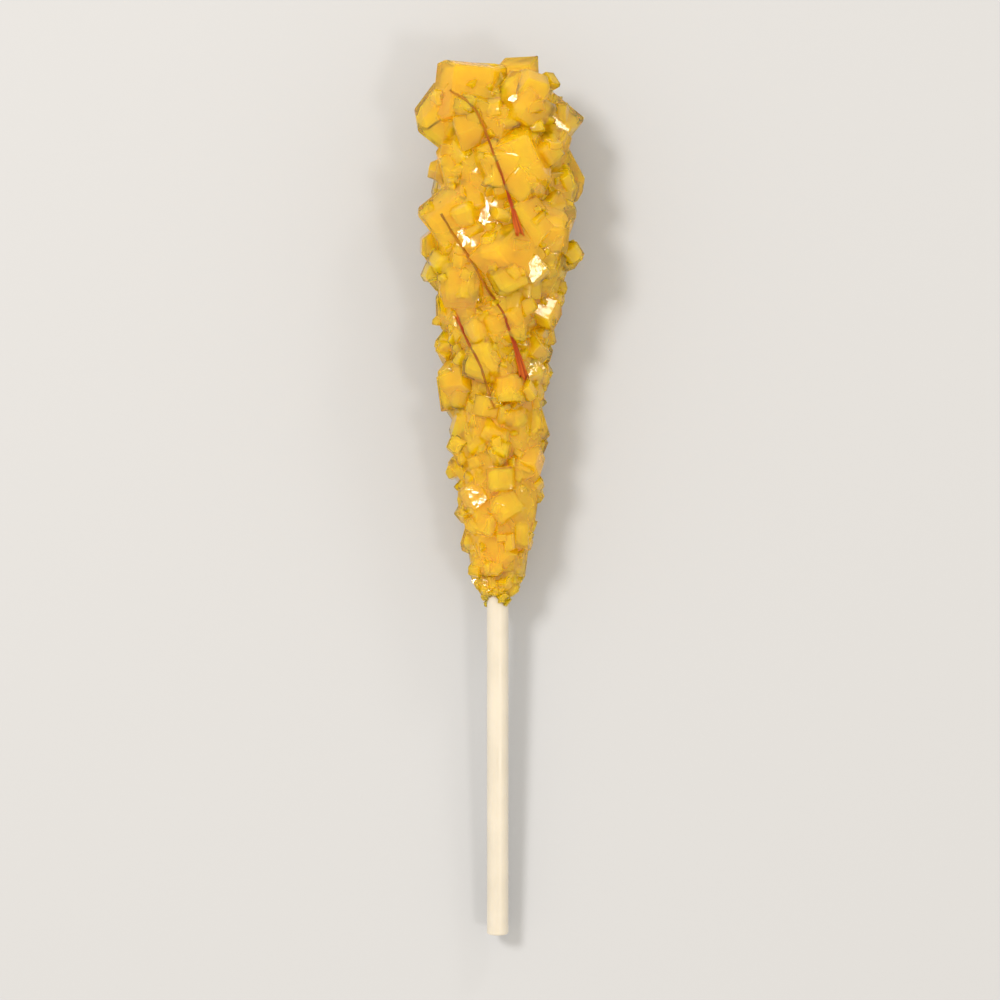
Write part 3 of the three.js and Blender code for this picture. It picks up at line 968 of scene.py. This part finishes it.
# %% Cloudy sugar
CLOUD_SIZE = 5 * MM
cloudy_material, tree = new_material("cloudy_rock_sugar")
place = add(tree, "ShaderNodeTexCoord").outputs["Object"]
cloud = add(tree, "ShaderNodeTexNoise", {"Vector": place, "Scale": 1 / CLOUD_SIZE, "Detail": 3.0})
colour = add(tree, "ShaderNodeValToRGB", {"Fac": cloud.outputs["Fac"]}, stops=[
    (0.3, "#FFD404"), (0.5, "#FFE00C"), (0.7, "#FFEE30"),
])
skin = add(tree, "ShaderNodeBsdfPrincipled", {
    "Base Color": colour.outputs["Color"],
    "Roughness": 0.6,
    "IOR": SUGAR_IOR,
    "Specular IOR Level": 0.0,
    "Subsurface Weight": 1.0,
    "Subsurface Scale": 1.0,
    "Subsurface Radius": (3.5 * MM, 3 * MM, 0.4 * MM),
})
output = add(tree, "ShaderNodeOutputMaterial", {"Surface": skin.outputs["BSDF"]})
heart.data.materials.clear()
heart.data.materials.append(cloudy_material)
print("cloudy material on:", heart.name)

# %% [markdown]
# ## Saffron
# A dried thread is matt and a little translucent: brown orange where the stalk is thin, deep red towards the
# trumpet, and orange again at its frayed rim. Fine fibres run along it, so its noise is stretched along the
# thread by the coordinates kept on its corners. The light glows through the sugar from below, so the colours
# are darker here than they look in the picture.

# %% Saffron
FIBRES_ROUND = 2.2  # noise cells across a thread's radius
FIBRES_ALONG = 7.0  # and along its whole length
saffron_material, tree = new_material("dried_saffron")
fibre_place = add(tree, "ShaderNodeAttribute", attribute_name="fibre").outputs["Vector"]
along = add(tree, "ShaderNodeSeparateXYZ", {"Vector": fibre_place}).outputs["Z"]
stretched = add(tree, "ShaderNodeVectorMath", {
    0: fibre_place,
    1: (FIBRES_ROUND, FIBRES_ROUND, FIBRES_ALONG),
}, operation="MULTIPLY")
fibres = add(tree, "ShaderNodeTexNoise", {
    "Vector": stretched.outputs["Vector"],
    "Scale": 1.0,
    "Detail": 3.0,
})
lengthwise = add(tree, "ShaderNodeValToRGB", {"Fac": along}, stops=[
    (0.0, "#B0860E"), (0.5, "#A46A0A"), (0.72, "#9C4C08"), (0.85, "#9E3806"), (1.0, "#BA5E0E"),
])
streaks = add(tree, "ShaderNodeValToRGB", {"Fac": fibres.outputs["Fac"]}, stops=[
    (0.35, "#B49078"), (0.65, "#FFFFFF"),
])
colour = add(tree, "ShaderNodeMix", {  # its sockets 6 and 7 take the colours, and 2 gives the mixed one
    0: 1.0,
    6: lengthwise.outputs["Color"],
    7: streaks.outputs["Color"],
}, data_type="RGBA", blend_type="MULTIPLY")
ridges = add(tree, "ShaderNodeBump", {
    "Height": fibres.outputs["Fac"],
    "Strength": 0.6,
    "Distance": 0.08 * MM,
})
skin = add(tree, "ShaderNodeBsdfPrincipled", {
    "Base Color": colour.outputs[2],
    "Roughness": 0.7,
    "Specular IOR Level": 0.25,
    "Subsurface Weight": 0.3,
    "Subsurface Scale": 1.0,
    "Subsurface Radius": (0.4 * MM, 0.12 * MM, 0.04 * MM),
    "Normal": ridges.outputs["Normal"],
})
output = add(tree, "ShaderNodeOutputMaterial", {"Surface": skin.outputs["BSDF"]})
thread_mesh.materials.append(saffron_material)
print("fibres on the threads:", "fibre" in thread_mesh.attributes)

# %% [markdown]
# ## Polypropylene
# The rod is off-white polypropylene, slightly see-through at its surface like candle wax, and satin. Drawing
# it through a die leaves fine lines along it, and its gloss changes a little from place to place. The lines
# are a noise stretched along the leaning axis. Real ones are a few hundredths of a millimetre wide; these
# are some five times as wide, so that they show.

# %% Polypropylene
LINE_WIDTH = 0.22 * MM
LINE_LENGTH = 14 * MM
PATCH_SIZE = 5 * MM
plastic_material, tree = new_material("drawn_polypropylene")
place = add(tree, "ShaderNodeTexCoord").outputs["Object"]
turned = add(tree, "ShaderNodeMapping", {"Vector": place, "Rotation": (-LEAN, 0, 0)})
stretched = add(tree, "ShaderNodeVectorMath", {
    0: turned.outputs["Vector"],
    1: (1 / LINE_WIDTH, 1 / LINE_LENGTH, 1 / LINE_WIDTH),
}, operation="MULTIPLY")
lines = add(tree, "ShaderNodeTexNoise", {"Vector": stretched.outputs["Vector"], "Scale": 1.0, "Detail": 2.0})
patches = add(tree, "ShaderNodeTexNoise", {"Vector": place, "Scale": 1 / PATCH_SIZE, "Detail": 2.0})
colour = add(tree, "ShaderNodeValToRGB", {"Fac": patches.outputs["Fac"]}, stops=[
    (0.3, "#C1BFB9"), (0.7, "#C7C5BF"),
])
satin = add(tree, "ShaderNodeMapRange", {
    "Value": patches.outputs["Fac"],
    "From Min": 0.3,
    "From Max": 0.7,
    "To Min": 0.3,
    "To Max": 0.42,
})
drawn = add(tree, "ShaderNodeBump", {
    "Height": lines.outputs["Fac"],
    "Strength": 0.25,
    "Distance": 0.04 * MM,
})
skin = add(tree, "ShaderNodeBsdfPrincipled", {
    "Base Color": colour.outputs["Color"],
    "Roughness": satin.outputs["Result"],
    "IOR": 1.49,
    "Subsurface Weight": 0.4,
    "Subsurface Scale": 1.0,
    "Subsurface Radius": (2 * MM, 1.8 * MM, 1.4 * MM),
    "Normal": drawn.outputs["Normal"],
})
output = add(tree, "ShaderNodeOutputMaterial", {"Surface": skin.outputs["BSDF"]})
rod.data.materials.append(plastic_material)
print("rod material:", plastic_material.name)

# %% [markdown]
# ## Floor and light
# The photograph is lit warmly and very softly from above, with hardly a dark shadow. So an even, warm sky
# gives most of the light. A lamp at the upper left and two weaker ones at the right draw the shadows and
# put bright glints on the few crystal faces that mirror them, as on the right edge in the photograph. Larger
# lamps would mirror in many faces at once and bleach them. The floor is plain, slightly cool paper, which
# looks neutral in the warm light.

# %% Floor and light
FLOOR_SIZE = 12.0  # metres, so that its edge stays out of sight from low down
FLOOR_GAP = 0.2 * MM  # under the candy, so that the two surfaces don't fight
WARM_LAMP = "#FFF4E4"
WARM_SKY = "#FFF0D8"
SKY_STRENGTH = 1.1
bpy.ops.mesh.primitive_plane_add(size=FLOOR_SIZE, location=(0, 0, -FLOOR_GAP))
floor = bpy.context.object
floor.name = "floor"
floor_material, tree = new_material("pale_paper")
skin = add(tree, "ShaderNodeBsdfPrincipled", {"Base Color": linear("#AFB6C3"), "Roughness": 0.8})
output = add(tree, "ShaderNodeOutputMaterial", {"Surface": skin.outputs["BSDF"]})
floor.data.materials.append(floor_material)
floor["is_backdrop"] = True

LIGHTS = [  # name, place, size in metres, power in watts
    ("key", (-0.45, 0.35, 0.85), 0.22, 6.5),
    ("fill", (0.43, -0.31, 0.87), 0.16, 1.8),
    ("glint", (0.43, 0.83, 0.46), 0.16, 1.4),
]
for name, spot, size, power in LIGHTS:
    lamp = bpy.data.objects.new(name, bpy.data.lights.new(name, "AREA"))
    lamp.data.size = size
    lamp.data.energy = power
    lamp.data.color = linear(WARM_LAMP)[:3]
    lamp.location = spot
    lamp.rotation_mode = "QUATERNION"
    lamp.rotation_quaternion = (middle - lamp.location).to_track_quat("-Z", "Y")
    scene.collection.objects.link(lamp)

world = bpy.data.worlds.new("studio")
scene.world = world
world.use_nodes = True
sky = world.node_tree.nodes["Background"]
sky.inputs["Color"].default_value = linear(WARM_SKY)
sky.inputs["Strength"].default_value = SKY_STRENGTH
scene.view_settings.view_transform = "Standard"
print("lamps:", [name for name, *_ in LIGHTS])

low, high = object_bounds()
for name, extent in (("packed", cad_high - cad_low), ("finished", high - low)):
    print(name, "size in mm:", [round(side / MM, 2) for side in extent])
